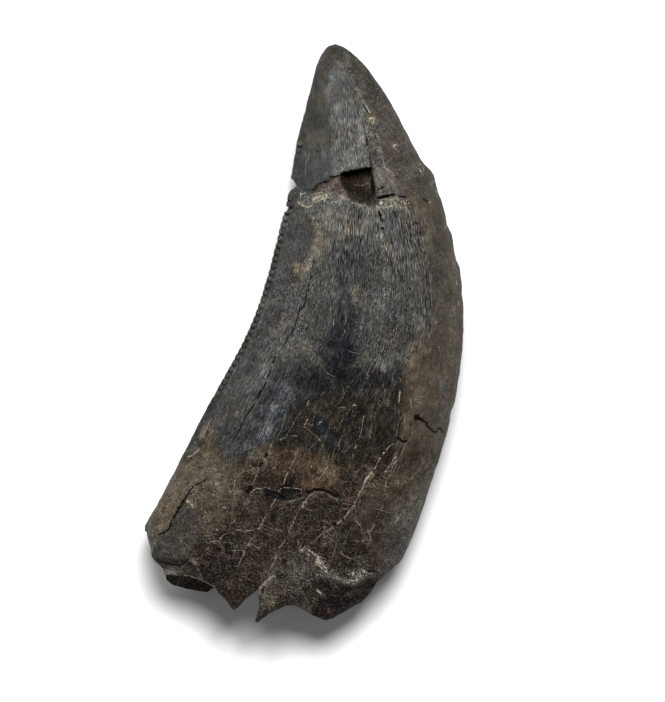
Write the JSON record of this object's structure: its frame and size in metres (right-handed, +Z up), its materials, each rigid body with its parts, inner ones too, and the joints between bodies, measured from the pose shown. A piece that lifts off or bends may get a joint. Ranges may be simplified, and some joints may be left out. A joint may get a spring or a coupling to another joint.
{
  "type": "fossil tyrannosaur tooth",
  "caption": "Curved, serrated dark fossil carnivore tooth lying on its side, with a fractured tip, a chipped hole, and a jagged broken root.",
  "frame": {"origin": "on the surface that the tooth lies on, under the middle of its box", "axes": "+Y towards the tip, +X to the convex mesial edge, -X to the serrated distal edge, +Z up through the flank that shows"},
  "size_m": [0.0318, 0.0576, 0.0158],
  "materials": {
    "fossil_enamel": "dull dark mineralised enamel and bone, finely streaked along the crown, rough at the root"
  },
  "bodies": {
    "root": {"tooth": "fossil_enamel"}
  },
  "joints": []
}
